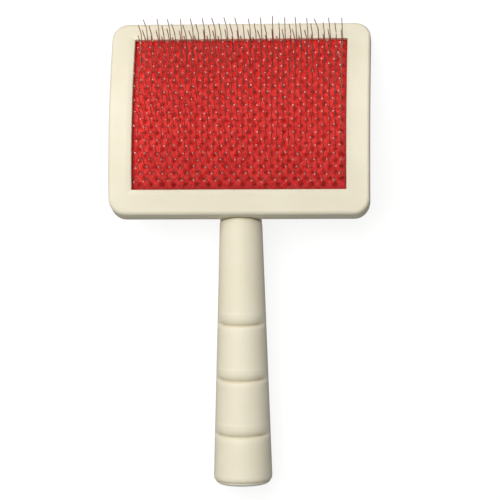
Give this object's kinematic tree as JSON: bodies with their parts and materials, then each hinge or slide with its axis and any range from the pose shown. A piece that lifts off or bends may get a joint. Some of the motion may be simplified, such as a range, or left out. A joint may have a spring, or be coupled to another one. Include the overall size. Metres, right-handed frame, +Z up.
{
  "type": "slicker brush",
  "caption": "Pet grooming slicker brush: a curved plastic head with a cushioned pad of kneed wire pins in a framed window, on a tapered round handle.",
  "frame": {"origin": "centre of the bounding box in plan, on the table the brush lies on", "axes": "+Z up, out of the table on the pin side; +Y towards the head's far edge, the handle towards -Y; +X to the right as seen from above"},
  "size_m": [0.12, 0.2167, 0.0506],
  "materials": {
    "ivory_plastic": "satin",
    "red_rubber": "satin",
    "canvas": "matte",
    "foam": "matte",
    "steel_wire": "satin"
  },
  "bodies": {
    "head": {"back_shell": "ivory_plastic", "front_frame": "ivory_plastic", "handle": "ivory_plastic", "foam_cushion": "foam"},
    "pad": {"rubber_facing": "red_rubber", "foundation_cloth": "canvas", "staple_row_01": "steel_wire", "staple_row_02": "steel_wire", "staple_row_03": "steel_wire", "staple_row_04": "steel_wire", "staple_row_05": "steel_wire", "staple_row_06": "steel_wire", "staple_row_07": "steel_wire", "staple_row_08": "steel_wire", "staple_row_09": "steel_wire", "staple_row_10": "steel_wire", "staple_row_11": "steel_wire", "staple_row_12": "steel_wire", "staple_row_13": "steel_wire", "staple_row_14": "steel_wire", "staple_row_15": "steel_wire", "staple_row_16": "steel_wire", "staple_row_17": "steel_wire", "staple_row_18": "steel_wire", "staple_row_19": "steel_wire", "staple_row_20": "steel_wire", "staple_row_21": "steel_wire", "staple_row_22": "steel_wire", "staple_row_23": "steel_wire", "staple_row_24": "steel_wire", "staple_row_25": "steel_wire", "staple_row_26": "steel_wire"}
  },
  "joints": [
    {"name": "pad_press", "type": "slide", "parent": "head", "child": "pad", "axis": [0, 0.2492, 0.9685], "range_m": [-0.0006, 0], "stiffness_N_per_m": 6000, "springref_m": 0.0002, "deforming": ["foam_cushion"]}
  ]
}
